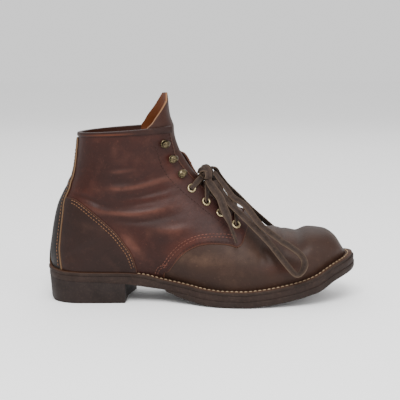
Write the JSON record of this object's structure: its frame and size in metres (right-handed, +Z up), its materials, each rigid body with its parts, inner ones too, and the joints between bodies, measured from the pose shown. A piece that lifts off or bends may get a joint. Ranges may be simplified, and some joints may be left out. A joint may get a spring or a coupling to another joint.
{
  "type": "lace-up boot",
  "caption": "Hollow ankle-high lace-up work boot for the right foot, brown leather upper on a welted sole with a block heel, laced and tied in a bow.",
  "frame": {"origin": "centre of the heel's flat bottom face", "axes": "+X to the toe, +Y to the inner (medial) side, +Z up from the floor"},
  "size_m": [0.3075, 0.1211, 0.206],
  "materials": {
    "upper_leather": "oiled reddish-brown leather, darker and greyer over the vamp, worn and creased",
    "tongue_leather": "brown leather, rough flesh side inwards",
    "insole_leather": "plain tan leather, matt",
    "welt_leather": "dark brown welt with light stitches",
    "midsole_leather": "dark brown edge dressing, scuffed",
    "outsole_rubber": "dark brown rubber, matt and dusty",
    "heel_rubber": "dark brown stacked heel, matt",
    "counter_leather": "dark brown leather with double tan stitching",
    "backstay_leather": "dark brown leather strip, pale raw edge",
    "binding_leather": "thin turned leather edge",
    "eyelet_metal": "antique brass, dulled",
    "hook_metal": "antique brass, dark",
    "lace": "flat taupe-brown rawhide lace, matt"
  },
  "bodies": {
    "root": {"upper": "upper_leather", "tongue": "tongue_leather", "insole": "insole_leather", "welt": "welt_leather", "midsole": "midsole_leather", "outsole": "outsole_rubber", "heel_block": "heel_rubber", "counter_lateral": "counter_leather", "counter_medial": "counter_leather", "backstay": "backstay_leather", "collar_binding": "binding_leather", "eyelet_lateral_1": "eyelet_metal", "eyelet_lateral_2": "eyelet_metal", "eyelet_lateral_3": "eyelet_metal", "eyelet_lateral_4": "eyelet_metal", "eyelet_medial_1": "eyelet_metal", "eyelet_medial_2": "eyelet_metal", "eyelet_medial_3": "eyelet_metal", "eyelet_medial_4": "eyelet_metal", "hook_lateral_1": "hook_metal", "hook_lateral_2": "hook_metal", "hook_lateral_3": "hook_metal", "hook_medial_1": "hook_metal", "hook_medial_2": "hook_metal", "hook_medial_3": "hook_metal", "lace_crossing_1": "lace", "lace_crossing_2": "lace", "lace_crossing_3": "lace", "lace_bottom_bar": "lace", "lace_knot": "lace", "lace_loop_lateral": "lace", "lace_end_lateral": "lace", "lace_loop_medial": "lace", "lace_end_medial": "lace"}
  },
  "joints": []
}
